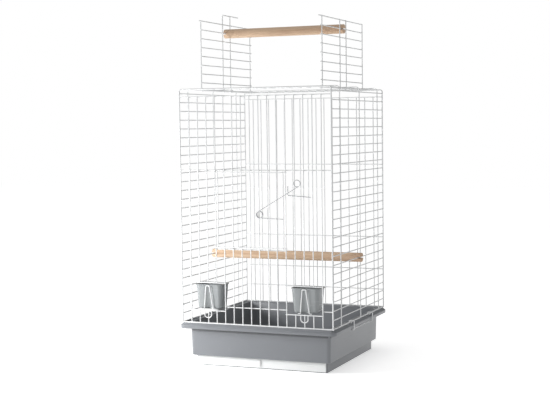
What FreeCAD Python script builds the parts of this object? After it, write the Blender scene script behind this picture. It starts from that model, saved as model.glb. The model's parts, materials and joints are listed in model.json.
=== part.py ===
import FreeCAD, Part
import Sketcher
import math
import os

# A wire bird cage on a plastic base with a drawer. Front is -Y, +Z is up and the
# origin is under the middle of the base. All sizes are millimetres.

SIZES = {
    "wireDia": 2.2,
    "frameDia": 3.0,
    "springDia": 1.8,
    "freeGap": 0.3,
    "cutOver": 1.0,
    "curlTurn": 300.0,
    "cageHalf": 172.0,
    "barPitch": 20.0,
    "barCount": 16,
    "rowPitch": 18.85,
    "rowCount": 25,
    "bottomWireZ": 95.5,
    "roofZ": 594.0,
    "roofBend": 5.0,
    "bandSpread": 127.0,
    "roofRowX": 155.0,
    "roofEndRows": 12,
    "topCrossZ": 578.0,
    "lowCrossZ": 131.5,
    "backCrossHighZ": 424.0,
    "backCrossMiddleZ": 257.0,
    "backCrossLowZ": 183.0,
    "backCrossFootZ": 136.0,
    "doorTopZ": 422.6,
    "doorBottomZ": 255.0,
    "doorHingeBar": 3,
    "doorShutBar": 11,
    "doorEdgeInset": 5.2,
    "doorEndGap": 1.4,
    "doorLap": 4.0,
    "feederHalf": 40.0,
    "feederTopZ": 183.0,
    "feederBottomZ": 123.0,
    "latchX": 13.3,
    "latchZ": 330.2,
    "latchEyeRadius": 7.0,
    "latchReachX": 84.8,
    "latchReachZ": 65.8,
    "latchTailDrop": 2.0,
    "keeperLeft": 76.0,
    "keeperRight": 126.4,
    "keeperZ": 371.0,
    "keeperFall": 3.5,
    "keeperFinger": 19.0,
    "railX": 136.0,
    "flapLength": 147.0,
    "flapRowCount": 8,
    "flapHalf": 131.0,
    "flapInnerHalf": 20.0,
    "flapRowLap": 2.0,
    "flapTopLap": 12.0,
    "tongueRise": 21.0,
    "tongueLap": 38.0,
    "perchDia": 20.0,
    "kerfWidth": 3.4,
    "topPerchLap": 5.0,
    "innerPerchHalf": 178.0,
    "innerPerchRow": 7,
    "cupX": 110.0,
    "cupWidth": 62.0,
    "cupDepth": 46.0,
    "cupTopZ": 179.0,
    "cupBottomZ": 124.6,
    "cupFrontY": 174.5,
    "cupWall": 2.2,
    "cupShrink": 4.0,
    "cupRadius": 9.0,
    "cupRimHeight": 2.4,
    "cupRimLap": 1.4,
    "hangerApex": 4.0,
    "hangerSpread": 10.0,
    "hangerTopZ": 176.2,
    "hangerFoot": 5.0,
    "restRadius": 8.0,
    "restDrop": 6.0,
    "smallBend": 2.0,
    "clipSpread": 63.0,
    "clipOut": 8.5,
    "clipBarX": 2.5,
    "clipBarDrop": 16.2,
    "rimHalf": 178.0,
    "rimTopZ": 90.0,
    "rimBottomZ": 82.0,
    "rimWall": 2.4,
    "rimRadius": 12.0,
    "shoulderHalf": 176.4,
    "shoulderSlope": 36.0,
    "notchWidth": 9.0,
    "notchLength": 16.0,
    "notchFloorZ": 90.6,
    "tubHalf": 161.0,
    "tubBottomZ": 22.0,
    "tubTaper": 2.0,
    "tubWall": 2.6,
    "tubRadius": 9.0,
    "tubLedgeHalf": 139.0,
    "housingHalf": 150.0,
    "housingWall": 3.0,
    "housingFloor": 1.6,
    "housingRadius": 4.0,
    "trayHalf": 144.0,
    "trayTopZ": 20.5,
    "trayWall": 2.0,
    "frontHalf": 148.0,
    "frontThick": 3.0,
    "frontBottomZ": 1.9,
    "pullWidth": 3.0,
    "pullHeight": 13.0,
    "pullDepth": 2.5,
}

doc = FreeCAD.newDocument("BirdCage")
sheet = doc.addObject("Spreadsheet::Sheet", "Sizes")
for line, (alias, number) in enumerate(SIZES.items(), start=1):
    sheet.set(f"A{line}", alias)
    sheet.set(f"B{line}", str(number))
    sheet.setAlias(f"B{line}", alias)
doc.recompute()

nodes = []
ORIGIN_ITEM = -1
START, END, CENTRE = 1, 2, 3
QUARTER = 90
LEAST_CUT = 1.0
VOLUME_SLACK = 0.01
TOUCHING = 1e-6


def size(alias):
    return float(sheet.get(alias))


def vector(x, y, z):
    return FreeCAD.Vector(x, y, z)


def newBody(label):
    body = doc.addObject("PartDesign::Body", label)
    body.AllowCompound = True
    nodes.append(body)
    return body


def origin(body, role):
    return next(item for item in body.Origin.OriginFeatures if item.Role == role)


def newSketch(body, name, role, lift="0"):
    sketch = body.newObject("Sketcher::SketchObject", name)
    sketch.AttachmentSupport = [(origin(body, role), "")]
    sketch.MapMode = "FlatFace"
    sketch.setExpression("AttachmentOffset.Base.z", lift)
    return sketch


def bindConstraint(sketch, constraint, expression):
    index = sketch.addConstraint(constraint)
    sketch.setExpression(f"Constraints[{index}]", expression)


# Binds one point of a sketch item to its place across or up from the sketch's origin.
def bindPlace(sketch, way, item, point, place, expression):
    bindConstraint(sketch, Sketcher.Constraint(way, ORIGIN_ITEM, START, item, point, place), expression)


def value(sketch, expression):
    return float(sketch.evalExpression(expression))


def addCircle(sketch, across, up, diameter):
    centre = vector(value(sketch, across), value(sketch, up), 0)
    radius = value(sketch, diameter) / 2
    circle = sketch.addGeometry(Part.Circle(centre, vector(0, 0, 1), radius), False)
    bindPlace(sketch, "DistanceX", circle, CENTRE, centre.x, across)
    bindPlace(sketch, "DistanceY", circle, CENTRE, centre.y, up)
    bindConstraint(sketch, Sketcher.Constraint("Diameter", circle, 2 * radius), diameter)


def addRectangle(sketch, left, bottom, width, height):
    x, y = value(sketch, left), value(sketch, bottom)
    w, d = value(sketch, width), value(sketch, height)
    corners = [vector(x, y, 0), vector(x + w, y, 0), vector(x + w, y + d, 0), vector(x, y + d, 0)]
    sides = [sketch.addGeometry(Part.LineSegment(corners[i], corners[(i + 1) % 4]), False) for i in range(4)]
    for i in range(4):
        sketch.addConstraint(Sketcher.Constraint("Coincident", sides[i], END, sides[(i + 1) % 4], START))
        sketch.addConstraint(Sketcher.Constraint(("Horizontal", "Vertical")[i % 2], sides[i]))
    bindPlace(sketch, "DistanceX", sides[0], START, x, left)
    bindPlace(sketch, "DistanceY", sides[0], START, y, bottom)
    bindConstraint(sketch, Sketcher.Constraint("DistanceX", sides[0], START, sides[0], END, w), width)
    bindConstraint(sketch, Sketcher.Constraint("DistanceY", sides[1], START, sides[1], END, d), height)


def addRoundedSquare(sketch, halfWidth, halfDepth, radius, across="0", up="0"):
    a, b = value(sketch, halfWidth), value(sketch, halfDepth)
    r = value(sketch, radius)
    x, y = value(sketch, across), value(sketch, up)
    sides, corners = [], []
    for turn in range(4):
        way = FreeCAD.Rotation(vector(0, 0, 1), QUARTER * turn)
        p, q = (a, b) if turn % 2 == 0 else (b, a)
        middle = vector(x, y, 0)
        start = middle + way.multVec(vector(-(p - r), -q, 0))
        end = middle + way.multVec(vector(p - r, -q, 0))
        centre = middle + way.multVec(vector(p - r, -(q - r), 0))
        circle = Part.Circle(centre, vector(0, 0, 1), r)
        first = math.radians(QUARTER * (turn - 1))
        sides.append(sketch.addGeometry(Part.LineSegment(start, end), False))
        corners.append(sketch.addGeometry(Part.ArcOfCircle(circle, first, first + math.pi / 2), False))
    for turn in range(4):
        after = sides[(turn + 1) % 4]
        sketch.addConstraint(Sketcher.Constraint("Tangent", sides[turn], END, corners[turn], START))
        sketch.addConstraint(Sketcher.Constraint("Tangent", corners[turn], END, after, START))
        sketch.addConstraint(Sketcher.Constraint(("Horizontal", "Vertical")[turn % 2], sides[turn]))
    for turn in range(1, 4):
        sketch.addConstraint(Sketcher.Constraint("Equal", corners[0], corners[turn]))
    bindConstraint(sketch, Sketcher.Constraint("Radius", corners[0], r), radius)
    bindPlace(sketch, "DistanceX", sides[1], START, x + a, f"{across} + ({halfWidth})")
    bindPlace(sketch, "DistanceX", sides[3], START, x - a, f"{across} - ({halfWidth})")
    bindPlace(sketch, "DistanceY", sides[2], START, y + b, f"{up} + ({halfDepth})")
    bindPlace(sketch, "DistanceY", sides[0], START, y - b, f"{up} - ({halfDepth})")


def addPad(body, name, sketch, length, taper="0", middle=False):
    pad = body.newObject("PartDesign::Pad", name)
    pad.Profile = sketch
    pad.Midplane = middle
    pad.setExpression("Length", length)
    pad.setExpression("TaperAngle", taper)
    body.Tip = pad
    doc.recompute()
    return pad


def addPocket(body, name, sketch, length, taper="0", upward=False):
    before = body.Shape.Volume
    pocket = body.newObject("PartDesign::Pocket", name)
    pocket.Profile = sketch
    pocket.Reversed = upward
    pocket.setExpression("Length", length)
    pocket.setExpression("TaperAngle", taper)
    body.Tip = pocket
    doc.recompute()
    if body.Shape.Volume > before - LEAST_CUT:
        raise ValueError(f"{body.Label}: {name} removes nothing")
    return pocket


def addPattern(body, name, feature, role, length, count):
    pattern = body.newObject("PartDesign::LinearPattern", name)
    pattern.Originals = [feature]
    pattern.Direction = (origin(body, role), [""])
    pattern.setExpression("Length", length)
    pattern.setExpression("Occurrences", count)
    body.Tip = pattern
    doc.recompute()


# The tub: tapered wall, inner ledge round the open floor, rolled rim with a skirt and
# a raised shoulder that carries the wire body, notched where the clips pivot.
def makeTub():
    body = newBody("base_tub")
    wall = newSketch(body, "TubFoot", "XY_Plane", "Sizes.tubBottomZ")
    foot = "Sizes.tubHalf - Sizes.tubTaper"
    addRoundedSquare(wall, foot, foot, "Sizes.tubRadius")
    rise = "(Sizes.rimTopZ - Sizes.tubBottomZ)"
    slope = f"atan(Sizes.tubTaper / {rise})"
    addPad(body, "TubWall", wall, rise, slope)
    rim = newSketch(body, "RimOutline", "XY_Plane", "Sizes.rimBottomZ")
    addRoundedSquare(rim, "Sizes.rimHalf", "Sizes.rimHalf", "Sizes.rimRadius")
    addPad(body, "Rim", rim, "Sizes.rimTopZ - Sizes.rimBottomZ")
    shoulder = newSketch(body, "ShoulderOutline", "XY_Plane", "Sizes.rimTopZ")
    addRoundedSquare(shoulder, "Sizes.shoulderHalf", "Sizes.shoulderHalf", "Sizes.rimRadius")
    addPad(body, "Shoulder", shoulder, "Sizes.bottomWireZ - Sizes.frameDia / 2 - Sizes.rimTopZ",
           "-Sizes.shoulderSlope")
    skirt = newSketch(body, "SkirtHollow", "XY_Plane", "Sizes.rimBottomZ")
    addRoundedSquare(skirt, "Sizes.rimHalf - Sizes.rimWall", "Sizes.rimHalf - Sizes.rimWall",
                     "Sizes.rimRadius - Sizes.rimWall")
    addRoundedSquare(skirt, "Sizes.tubHalf", "Sizes.tubHalf", "Sizes.tubRadius + Sizes.tubTaper")
    addPocket(body, "UnderRim", skirt, "Sizes.rimTopZ - Sizes.rimBottomZ - Sizes.rimWall", upward=True)
    inside = newSketch(body, "InnerFoot", "XY_Plane", "Sizes.tubBottomZ + Sizes.tubWall")
    inner = f"{foot} - Sizes.tubWall"
    addRoundedSquare(inside, inner, inner, "Sizes.tubRadius - Sizes.tubWall")
    addPocket(body, "Inside", inside, "Sizes.bottomWireZ - Sizes.tubBottomZ", slope, True)
    ledge = newSketch(body, "FloorHole", "XY_Plane", "Sizes.tubBottomZ")
    addRoundedSquare(ledge, "Sizes.tubLedgeHalf", "Sizes.tubLedgeHalf", "Sizes.housingRadius")
    addPocket(body, "OpenFloor", ledge, "Sizes.tubWall + Sizes.cutOver", upward=True)
    notches = newSketch(body, "ClipNotches", "XY_Plane", "Sizes.notchFloorZ")
    for across in ("-Sizes.cageHalf", "Sizes.cageHalf"):
        for along in ("-Sizes.clipSpread", "Sizes.clipSpread"):
            addRectangle(notches, f"{across} - Sizes.notchLength / 2", f"{along} - Sizes.notchWidth / 2",
                         "Sizes.notchLength", "Sizes.notchWidth")
    addPocket(body, "ClipNotch", notches, "Sizes.bottomWireZ - Sizes.notchFloorZ", upward=True)


# The drawer housing: a shallow tray with three walls, open at the front and the top.
def makeHousing():
    body = newBody("drawer_housing")
    outline = newSketch(body, "HousingOutline", "XY_Plane")
    addRoundedSquare(outline, "Sizes.housingHalf", "Sizes.housingHalf", "Sizes.housingRadius")
    addPad(body, "HousingBlock", outline, "Sizes.tubBottomZ")
    hollow = newSketch(body, "HousingHollow", "XY_Plane", "Sizes.housingFloor")
    inner = "(Sizes.housingHalf - Sizes.housingWall)"
    front = "(Sizes.housingHalf + Sizes.cutOver)"
    addRectangle(hollow, f"-{inner}", f"-{front}", f"2 * {inner}", f"{front} + {inner}")
    addPocket(body, "DrawerSpace", hollow, "Sizes.tubBottomZ", upward=True)


def makeDrawer():
    tray = newBody("drawer_tray")
    outline = newSketch(tray, "TrayOutline", "XY_Plane", "Sizes.frontBottomZ")
    addRoundedSquare(outline, "Sizes.trayHalf", "Sizes.trayHalf", "Sizes.housingRadius")
    addPad(tray, "TrayBlock", outline, "Sizes.trayTopZ - Sizes.frontBottomZ")
    hollow = newSketch(tray, "TrayHollow", "XY_Plane", "Sizes.frontBottomZ + Sizes.trayWall")
    inner = "Sizes.trayHalf - Sizes.trayWall"
    addRoundedSquare(hollow, inner, inner, "Sizes.housingRadius - Sizes.trayWall")
    addPocket(tray, "TrayInside", hollow, "Sizes.trayTopZ", upward=True)

    front = newBody("drawer_front")
    face = newSketch(front, "FrontFace", "XZ_Plane", "Sizes.housingHalf")
    addRectangle(face, "-Sizes.frontHalf", "Sizes.frontBottomZ", "2 * Sizes.frontHalf",
                 "Sizes.tubBottomZ - Sizes.freeGap - Sizes.frontBottomZ")
    addPad(front, "FrontPlate", face, "Sizes.frontThick")
    web = newSketch(front, "WebFace", "XZ_Plane", "Sizes.trayHalf")
    addRectangle(web, "-Sizes.trayHalf / 2", "Sizes.frontBottomZ + Sizes.trayWall", "Sizes.trayHalf",
                 "Sizes.trayTopZ - Sizes.frontBottomZ - 2 * Sizes.trayWall")
    addPad(front, "Web", web, "Sizes.housingHalf - Sizes.trayHalf")

    pull = newBody("drawer_pull")
    rib = newSketch(pull, "PullFace", "XZ_Plane", "Sizes.housingHalf + Sizes.frontThick")
    ribFoot = "(Sizes.tubBottomZ + Sizes.frontBottomZ - Sizes.pullHeight) / 2"
    addRectangle(rib, "-Sizes.pullWidth / 2", ribFoot, "Sizes.pullWidth", "Sizes.pullHeight")
    addPad(pull, "PullRib", rib, "Sizes.pullDepth")


def makeCup(label, side):
    body = newBody(label)
    across = f"{side} * Sizes.cupX"
    along = "-(Sizes.cupFrontY - Sizes.cupDepth / 2)"
    tall = "(Sizes.cupTopZ - Sizes.cupBottomZ)"
    slope = f"atan(Sizes.cupShrink / {tall})"
    halfWidth = "Sizes.cupWidth / 2 - Sizes.cupShrink"
    halfDepth = "Sizes.cupDepth / 2 - Sizes.cupShrink"
    foot = newSketch(body, "CupFoot", "XY_Plane", "Sizes.cupBottomZ")
    addRoundedSquare(foot, halfWidth, halfDepth, "Sizes.cupRadius", across, along)
    addPad(body, "CupWall", foot, tall, slope)
    rim = newSketch(body, "CupRimOutline", "XY_Plane", "Sizes.cupTopZ - Sizes.cupRimHeight")
    addRoundedSquare(rim, "Sizes.cupWidth / 2 + Sizes.cupRimLap", "Sizes.cupDepth / 2",
                     "Sizes.cupRadius + Sizes.cupRimLap", across, along)
    addPad(body, "CupRim", rim, "Sizes.cupRimHeight")
    inside = newSketch(body, "CupInside", "XY_Plane", "Sizes.cupBottomZ + Sizes.cupWall")
    addRoundedSquare(inside, f"{halfWidth} - Sizes.cupWall", f"{halfDepth} - Sizes.cupWall",
                     "Sizes.cupRadius", across, along)
    addPocket(body, "CupHollow", inside, tall, slope, True)


# A perch is a dowel along X whose ends are sawn with slots that fit over the wires.
def makePerch(label, half, height, kerfDepth, crossed):
    body = newBody(label)
    section = newSketch(body, "DowelSection", "YZ_Plane")
    addCircle(section, "0", height, "Sizes.perchDia")
    addPad(body, "Dowel", section, f"2 * ({half})", middle=True)
    for name, role in (("RightEnd", 1), ("LeftEnd", -1)):
        lift = f"{role} * ({half} - {kerfDepth})"
        flat = newSketch(body, f"{name}Kerf", "YZ_Plane", lift)
        addRectangle(flat, "-Sizes.perchDia", f"{height} - Sizes.kerfWidth / 2", "2 * Sizes.perchDia",
                     "Sizes.kerfWidth")
        addPocket(body, f"{name}Slot", flat, f"{kerfDepth} + Sizes.cutOver", upward=role > 0)
        if crossed:
            upright = newSketch(body, f"{name}CrossKerf", "YZ_Plane", lift)
            addRectangle(upright, "-Sizes.kerfWidth / 2", f"{height} - Sizes.perchDia", "Sizes.kerfWidth",
                         "2 * Sizes.perchDia")
            addPocket(body, f"{name}CrossSlot", upright, f"{kerfDepth} + Sizes.cutOver", upward=role > 0)


# Side panel: level wires one above the other, welded between the corner uprights.
def makeSideRows(label, side):
    body = newBody(label)
    section = newSketch(body, "RowSection", "XZ_Plane")
    addCircle(section, f"{side} * Sizes.cageHalf", "Sizes.bottomWireZ + Sizes.rowPitch", "Sizes.wireDia")
    row = addPad(body, "Row", section, "2 * Sizes.cageHalf - Sizes.frameDia", middle=True)
    addPattern(body, "RowsUp", row, "Z_Axis", "Sizes.rowPitch * (Sizes.rowCount - 1)", "Sizes.rowCount")


def makeBackBars():
    body = newBody("back_bars")
    section = newSketch(body, "BarSection", "XY_Plane", "Sizes.bottomWireZ + Sizes.frameDia / 2")
    addCircle(section, "-Sizes.barPitch * (Sizes.barCount - 1) / 2", "Sizes.cageHalf", "Sizes.wireDia")
    bar = addPad(body, "Bar", section,
                 "Sizes.topCrossZ + (Sizes.wireDia - Sizes.frameDia) / 2 - Sizes.bottomWireZ")
    addPattern(body, "BarsAcross", bar, "X_Axis", "Sizes.barPitch * (Sizes.barCount - 1)", "Sizes.barCount")


def rod(start, end, diameter):
    line = end.sub(start)
    return Part.makeCylinder(diameter / 2, line.Length, start, line)


def ring(centre, axis, radius, diameter):
    return Part.makeTorus(radius, diameter / 2, centre, axis)


def bend(centre, axis, start, turn, diameter):
    radius = start.sub(centre)
    along = axis.cross(radius)
    section = Part.Wire([Part.makeCircle(diameter / 2, start, along)])
    return Part.Face(section).revolve(centre, axis, turn)


def fused(pieces):
    return pieces[0].multiFuse(pieces[1:]).removeSplitter()


def arcAbout(centre, axis, start, turn):
    def turned(angle):
        return centre.add(FreeCAD.Rotation(axis, angle).multVec(start.sub(centre)))
    return Part.Arc(start, turned(turn / 2), turned(turn)).toShape()


# Straight runs through the points, with an arc of one radius at every corner.
def roundedPath(points, radius):
    edges = []
    last = points[0]
    for before, corner, after in zip(points, points[1:], points[2:]):
        arriving = corner.sub(before).normalize()
        leaving = after.sub(corner).normalize()
        turn = arriving.getAngle(leaving)
        cut = radius * math.tan(turn / 2)
        start = corner.sub(arriving * cut)
        end = corner.add(leaving * cut)
        inward = leaving.sub(arriving).normalize()
        centre = corner.add(inward * (radius / math.cos(turn / 2)))
        middle = centre.sub(inward * radius)
        if start.distanceToPoint(last) > TOUCHING:
            edges.append(Part.LineSegment(last, start).toShape())
        edges.append(Part.Arc(start, middle, end).toShape())
        last = end
    edges.append(Part.LineSegment(last, points[-1]).toShape())
    return edges


def bentWire(edges, diameter):
    path = Part.Wire(edges)
    start = edges[0].valueAt(edges[0].FirstParameter)
    along = edges[0].tangentAt(edges[0].FirstParameter)
    section = Part.Wire([Part.makeCircle(diameter / 2, start, along)])
    solid = path.makePipeShell([section], True, False)
    expected = path.Length * math.pi * diameter ** 2 / 4
    if abs(solid.Volume - expected) > expected * VOLUME_SLACK:
        raise ValueError(f"a bent wire has volume {solid.Volume}, not {expected}")
    return solid


def addWires(label, solids):
    node = doc.addObject("Part::Feature", label)
    node.Shape = solids[0] if len(solids) == 1 else Part.makeCompound(solids)
    node.Placement = FreeCAD.Placement()
    nodes.append(node)


wire = size("wireDia")
frame = size("frameDia")
spring = size("springDia")
half = size("cageHalf")
bottomZ = size("bottomWireZ")
roofZ = size("roofZ")
panelInside = half - wire
panelOutside = half + wire
crossEnd = half - frame / 2
barFootZ = bottomZ + frame / 2
barTopZ = size("topCrossZ") + wire / 2
pitch = size("barPitch")
barCount = int(size("barCount"))
barX = [pitch * (number - (barCount - 1) / 2) for number in range(barCount)]
hingeBar = int(size("doorHingeBar"))
shutBar = int(size("doorShutBar"))
upAxis = vector(0, 0, 1)
depthAxis = vector(0, 1, 0)


def levelWire(left, right, y, z):
    return rod(vector(left, y, z), vector(right, y, z), wire)


def makeBottomFrame():
    reach = half + frame / 2
    solids = []
    for side in (-1, 1):
        at = side * half
        solids.append(rod(vector(-reach, at, bottomZ), vector(reach, at, bottomZ), frame))
        solids.append(rod(vector(at, -crossEnd, bottomZ), vector(at, crossEnd, bottomZ), frame))
    addWires("bottom_frame", solids)


# An upright on each side, bent over at the roof into one hoop.
def makeHoop(label, y):
    radius = size("roofBend")
    solids = [rod(vector(-half + radius, y, roofZ), vector(half - radius, y, roofZ), frame)]
    for side in (-1, 1):
        foot = vector(side * half, y, barFootZ)
        shoulder = vector(side * half, y, roofZ - radius)
        centre = vector(side * (half - radius), y, roofZ - radius)
        solids.append(rod(foot, shoulder, frame))
        solids.append(bend(centre, depthAxis, shoulder, -QUARTER * side, frame))
    addWires(label, solids)


# The wires that stiffen the side panels and carry on over the roof; the middle one
# stops at the flap rails.
def makeBands():
    centreX = half - size("roofBend")
    centreZ = roofZ - size("roofBend")
    topZ = roofZ + wire
    solids = []
    for y in (-size("bandSpread"), 0, size("bandSpread")):
        for side in (-1, 1):
            foot = vector(side * panelOutside, y, barFootZ)
            shoulder = vector(side * panelOutside, y, centreZ)
            solids.append(rod(foot, shoulder, wire))
            centre = vector(side * centreX, y, centreZ)
            solids.append(bend(centre, depthAxis, shoulder, -QUARTER * side, wire))
            if y == 0:
                solids.append(levelWire(side * centreX, side * size("railX"), y, topZ))
        if y != 0:
            solids.append(levelWire(-centreX, centreX, y, topZ))
    addWires("side_and_roof_bands", solids)


def makeRoofRows():
    radius = size("roofBend")
    topRowZ = bottomZ + size("rowPitch") * (size("rowCount") + 1)
    rise = max(topRowZ - (roofZ - radius), 0)
    topRowX = half - radius + math.sqrt(radius ** 2 - rise ** 2)
    solids = []
    for side in (-1, 1):
        for x, z in ((topRowX, topRowZ), (size("roofRowX"), roofZ)):
            solids.append(rod(vector(side * x, -crossEnd, z), vector(side * x, crossEnd, z), wire))
    addWires("roof_rows", solids)
    ends = []
    count = int(size("roofEndRows"))
    inner = size("bandSpread") - wire / 2
    for number in range(count):
        x = pitch * (number - (count - 1) / 2)
        for side in (-1, 1):
            ends.append(rod(vector(x, side * inner, roofZ), vector(x, side * crossEnd, roofZ), wire))
    addWires("roof_end_wires", ends)
    rails = []
    for side in (-1, 1):
        x = side * size("railX")
        rails.append(rod(vector(x, -crossEnd, roofZ), vector(x, crossEnd, roofZ), wire))
    addWires("flap_rails", rails)


# Front bars end at the top level wire; the door and the two feeders interrupt them.
def makeFrontBars():
    stub = wire / 2
    solids = []
    for number, x in enumerate(barX):
        spans = [(barFootZ, barTopZ)]
        if hingeBar < number < shutBar:
            spans = [(barFootZ, size("doorBottomZ") + stub), (size("doorTopZ") - stub, barTopZ)]
        if abs(abs(x) - size("cupX")) < size("feederHalf") - stub:
            spans = [(barFootZ, size("feederBottomZ") + stub), (size("feederTopZ") - stub, barTopZ)]
        for low, high in spans:
            solids.append(rod(vector(x, -half, low), vector(x, -half, high), wire))
    addWires("front_bars", solids)


def makeCrossWires():
    front = []
    for z in (size("topCrossZ"), size("doorTopZ")):
        front.append(levelWire(-crossEnd, crossEnd, -panelInside, z))
    low = size("lowCrossZ")
    lap = wire / 2
    inner = size("cupX") - size("feederHalf") + lap
    outer = size("cupX") + size("feederHalf") - lap
    for left, right in ((-crossEnd, -outer), (-inner, inner), (outer, crossEnd)):
        front.append(levelWire(left, right, -panelInside, low))
    front.append(levelWire(barX[hingeBar] - lap, barX[shutBar] + lap, -panelInside, size("doorBottomZ")))
    addWires("front_cross_wires", front)
    back = []
    for alias in ("topCrossZ", "backCrossHighZ", "backCrossMiddleZ", "backCrossLowZ", "backCrossFootZ"):
        back.append(levelWire(-crossEnd, crossEnd, panelInside, size(alias)))
    addWires("back_cross_wires", back)


# The feeder opening has a level wire above and below, and a U shaped rest under it.
def makeFeederWires(side, name):
    edge = size("feederHalf") + wire / 2
    middle = side * size("cupX")
    opening = [levelWire(middle - edge, middle + edge, -panelOutside, size(alias))
               for alias in ("feederTopZ", "feederBottomZ")]
    addWires(f"{name}_feeder_opening", opening)
    radius = size("restRadius")
    topZ = size("feederBottomZ") - wire / 2
    lowZ = topZ - size("restDrop") - radius
    route = [vector(middle - radius, -panelOutside, topZ), vector(middle - radius, -panelOutside, lowZ),
             vector(middle + radius, -panelOutside, lowZ), vector(middle + radius, -panelOutside, topZ)]
    rest = [bentWire(roundedPath(route, radius - wire / 2), wire)]
    addWires(f"{name}_feeder_rest", rest)


# The feeder hanger is one wire bent into a narrow upside-down V against the sloping
# front of the cup, with its feet turned outwards.
def makeHanger(side, name):
    middle = side * size("cupX")
    lean = size("cupShrink") / (size("cupTopZ") - size("cupBottomZ"))
    footZ = size("cupBottomZ") + wire / 2

    def onFace(across, z):
        face = -size("cupFrontY") + lean * (size("cupTopZ") - z)
        return vector(middle + across, face - wire / 2, z)

    apex, spread = size("hangerApex"), size("hangerSpread")
    toe = spread + size("hangerFoot")
    route = [onFace(-toe, footZ), onFace(-spread, footZ), onFace(-apex, size("hangerTopZ")),
             onFace(apex, size("hangerTopZ")), onFace(spread, footZ), onFace(toe, footZ)]
    addWires(f"{name}_feeder_hanger", [bentWire(roundedPath(route, size("smallBend")), wire)])


# Door: level wires in front of the bars, with their ends curled round the hinge bar, and
# upright bars that fill the gap in the panel.
def makeDoor():
    curl = wire + size("freeGap")
    y = -half - curl
    hingeX = barX[hingeBar]
    inset = size("doorEndGap")
    lowZ = size("doorBottomZ") + wire / 2 + inset
    highZ = size("doorTopZ") - wire / 2 - inset
    crossLowZ = lowZ + wire
    crossHighZ = highZ - wire
    crossing = []
    for z in (crossLowZ, crossHighZ):
        curled = arcAbout(vector(hingeX, -half, z), upAxis, vector(hingeX, y, z), -size("curlTurn"))
        shutEnd = vector(barX[shutBar] + size("doorLap"), y, z)
        level = Part.LineSegment(shutEnd, vector(hingeX, y, z)).toShape()
        crossing.append(bentWire([level, curled], wire))
    addWires("door_cross_wires", crossing)
    edges = [hingeX + size("doorEdgeInset"), barX[shutBar] - size("doorEdgeInset")]
    uprights = []
    for x in edges + barX[hingeBar + 1:shutBar]:
        uprights.append(rod(vector(x, y + wire, lowZ), vector(x, y + wire, highZ), wire))
    addWires("door_bars", uprights)


# Latch: a sprung coil fixed to the door by its tail, and an arm that ends in a finger
# ring. The keeper on the fixed bars has an upturned finger.
def makeLatch():
    doorBarY = -half - size("freeGap")
    tailY = doorBarY - wire / 2 - spring / 2
    armY = tailY - 2 * spring - size("freeGap")
    radius = size("latchEyeRadius")
    pivotX, pivotZ = size("latchX"), size("latchZ")
    tailStart = vector(pivotX, tailY, pivotZ - radius)
    tailX = barX[shutBar] - size("doorEdgeInset")
    tailEnd = vector(tailX, tailY, pivotZ - radius - size("latchTailDrop"))
    coil = ring(vector(pivotX, tailY, pivotZ), depthAxis, radius, spring)
    turn = ring(vector(pivotX, tailY - spring, pivotZ), depthAxis, radius, spring)
    addWires("latch_spring", [fused([coil, rod(tailStart, tailEnd, spring)]), turn])
    reach = vector(size("latchReachX"), 0, size("latchReachZ"))
    way = vector(reach.x, 0, reach.z).normalize()
    eye = vector(pivotX, armY, pivotZ)
    finger = eye.add(reach)
    arm = rod(eye.add(way * radius), finger.sub(way * radius), spring)
    arm = fused([arm, ring(eye, depthAxis, radius, spring), ring(finger, depthAxis, radius, spring)])
    addWires("latch_arm", [arm])
    left = vector(size("keeperLeft"), -panelOutside, size("keeperZ"))
    right = vector(size("keeperRight"), -panelOutside, size("keeperZ") - size("keeperFall"))
    tip = left.add(vector(0, 0, size("keeperFinger")))
    addWires("door_keeper", [bentWire(roundedPath([tip, left, right], size("smallBend")), wire)])


# Roof flap: uprights curled round the rail, level wires on the inner side.
def makeFlap(side, name):
    curl = wire + size("freeGap")
    rail = side * size("railX")
    x = rail + side * curl
    rowX = x - side * wire
    topZ = roofZ + size("flapLength")
    uprights = []
    for y in (-size("flapHalf"), -size("flapInnerHalf"), size("flapInnerHalf"), size("flapHalf")):
        rise = size("tongueRise") if side < 0 and abs(y) < size("flapHalf") else 0
        straight = Part.LineSegment(vector(x, y, topZ + rise + wire / 2), vector(x, y, roofZ)).toShape()
        curled = arcAbout(vector(rail, y, roofZ), depthAxis, straight.valueAt(straight.LastParameter),
                          side * size("curlTurn"))
        uprights.append(bentWire([straight, curled], wire))
    addWires(f"{name}_flap_uprights", uprights)
    rows = []
    for number in range(int(size("flapRowCount"))):
        z = topZ - size("rowPitch") * number
        front = size("flapHalf") + (size("flapTopLap") if number == 0 else size("flapRowLap"))
        back = size("flapHalf") + size("flapRowLap")
        rows.append(rod(vector(rowX, -front, z), vector(rowX, back, z), wire))
    addWires(f"{name}_flap_rows", rows)
    if side < 0:
        front = vector(rowX, -size("flapInnerHalf") - wire / 2, topZ + size("tongueRise"))
        back = vector(rowX, size("flapInnerHalf") + size("tongueLap"), front.z)
        addWires("left_flap_tongue", [rod(front, back, wire)])


# Bail clip: two eyes round the side wire of the bottom frame, legs over the rim and a bar
# under its skirt.
def makeClip(side, name):
    eye = frame / 2 + size("freeGap") + wire / 2
    outX = side * (half + size("clipOut"))
    barZ = bottomZ - size("clipBarDrop")
    barAt = side * (half + size("clipBarX"))
    near, far = -size("clipSpread"), size("clipSpread")
    overZ = bottomZ + eye
    route = [vector(side * half, near, overZ), vector(outX, near, overZ), vector(outX, near, barZ),
             vector(barAt, near, barZ), vector(barAt, far, barZ), vector(outX, far, barZ),
             vector(outX, far, overZ), vector(side * half, far, overZ)]
    legs = roundedPath(route, size("smallBend"))
    for y, start in ((near, route[0]), (far, route[-1])):
        curled = arcAbout(vector(side * half, y, bottomZ), depthAxis, start, -side * size("curlTurn"))
        legs.append(curled)
    addWires(f"{name}_rim_clip", [bentWire(Part.sortEdges(legs)[0], wire)])


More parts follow.
